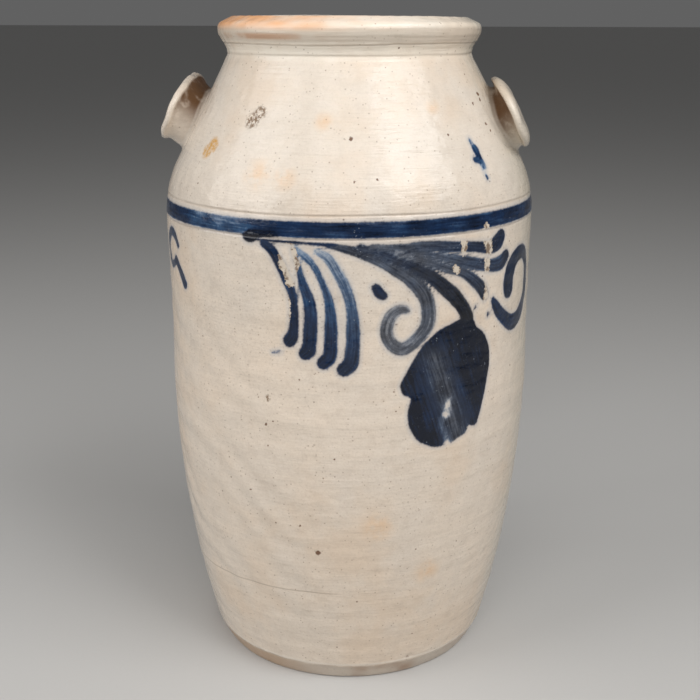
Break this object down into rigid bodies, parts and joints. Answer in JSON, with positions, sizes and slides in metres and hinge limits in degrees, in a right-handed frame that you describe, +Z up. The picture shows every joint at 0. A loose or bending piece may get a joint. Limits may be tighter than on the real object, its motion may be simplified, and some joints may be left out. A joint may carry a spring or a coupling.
{
  "type": "stoneware crock fermenter",
  "caption": "Tall shouldered stoneware crock with a rolled rim, lug handles, a drop-in lid and a divided pressing weight.",
  "frame": {"origin": "centre of the flat foot, on the surface that the jar stands on", "axes": "+Z up along the axis of the jar, the two lug handles on the X axis"},
  "size_m": [0.258, 0.258, 0.454],
  "materials": {
    "salt_glaze": "satin salt glaze with blue brushwork",
    "lid_glaze": "satin salt glaze",
    "bare_stoneware": "matt, unglazed"
  },
  "bodies": {
    "crock": {"crock_body": "salt_glaze", "lug_handle_left": "salt_glaze", "lug_handle_right": "salt_glaze"},
    "lid": {"lid": "lid_glaze", "lid_knob": "lid_glaze"},
    "weight_left": {"weight_left": "bare_stoneware"},
    "weight_right": {"weight_right": "bare_stoneware"}
  },
  "joints": [
    {"name": "lid_lift", "type": "slide", "parent": "crock", "child": "lid", "axis": [0, 0, 1], "range_m": [0, 0.08]},
    {"name": "weight_left_rise", "type": "slide", "parent": "crock", "child": "weight_left", "axis": [0, 0, 1], "range_m": [0, 0.34]},
    {"name": "weight_right_rise", "type": "slide", "parent": "crock", "child": "weight_right", "axis": [0, 0, 1], "range_m": [0, 0.34]}
  ]
}
